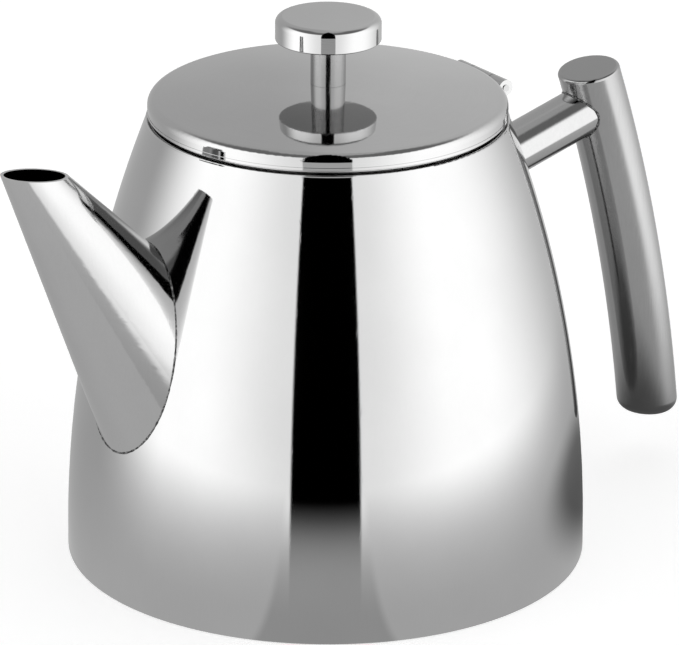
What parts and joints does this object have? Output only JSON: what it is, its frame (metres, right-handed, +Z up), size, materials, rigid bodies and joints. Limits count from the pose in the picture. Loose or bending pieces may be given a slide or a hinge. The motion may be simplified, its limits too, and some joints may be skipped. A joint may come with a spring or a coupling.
{
  "type": "teapot with infuser",
  "caption": "Double-walled steel teapot with a conical pouring spout, bar handle, hinged lid with a disc knob and a hanging perforated tea basket.",
  "frame": {"origin": "centre of the foot, on the pot's axis, at the surface it stands on", "axes": "+Z up, the spout along -X, the handle and the lid's hinge along +X"},
  "size_m": [0.2338, 0.1498, 0.1591],
  "materials": {
    "mirror_steel": "polished",
    "bright_steel": "gloss",
    "satin_steel": "satin",
    "fastener_steel": "satin"
  },
  "bodies": {
    "root": {"outer_shell": "mirror_steel", "rim_ring": "mirror_steel", "base_plate": "bright_steel", "inner_floor": "satin_steel", "inner_wall": "satin_steel", "inner_neck": "satin_steel", "spout": "mirror_steel", "spout_duct": "satin_steel", "handle_grip": "mirror_steel", "grip_top_cap": "mirror_steel", "grip_bottom_cap": "mirror_steel", "handle_stub": "mirror_steel", "handle_backing_plate": "satin_steel", "hinge_bracket": "bright_steel", "hinge_pin": "fastener_steel"},
    "lid": {"lid_cover": "mirror_steel", "lid_liner": "satin_steel", "lid_hinge_leaf": "bright_steel", "knob": "mirror_steel", "knob_stem": "mirror_steel", "knob_screw": "fastener_steel", "knob_washer": "fastener_steel"},
    "infuser": {"infuser_collar": "satin_steel", "infuser_wall": "satin_steel", "infuser_floor": "satin_steel", "infuser_base_ring": "satin_steel"}
  },
  "joints": [
    {"name": "lid_hinge", "type": "hinge", "parent": "root", "child": "lid", "pos_m": [0.054, 0, 0.131], "axis": [0, 1, 0], "range_deg": [0, 105]},
    {"name": "infuser_lift", "type": "slide", "parent": "root", "child": "infuser", "axis": [0, 0, 1], "range_m": [0, 0.0176]}
  ],
  "couplings": [
    {"joint": "infuser_lift", "follows": "lid_hinge", "m_per_rad": 0.0095}
  ]
}
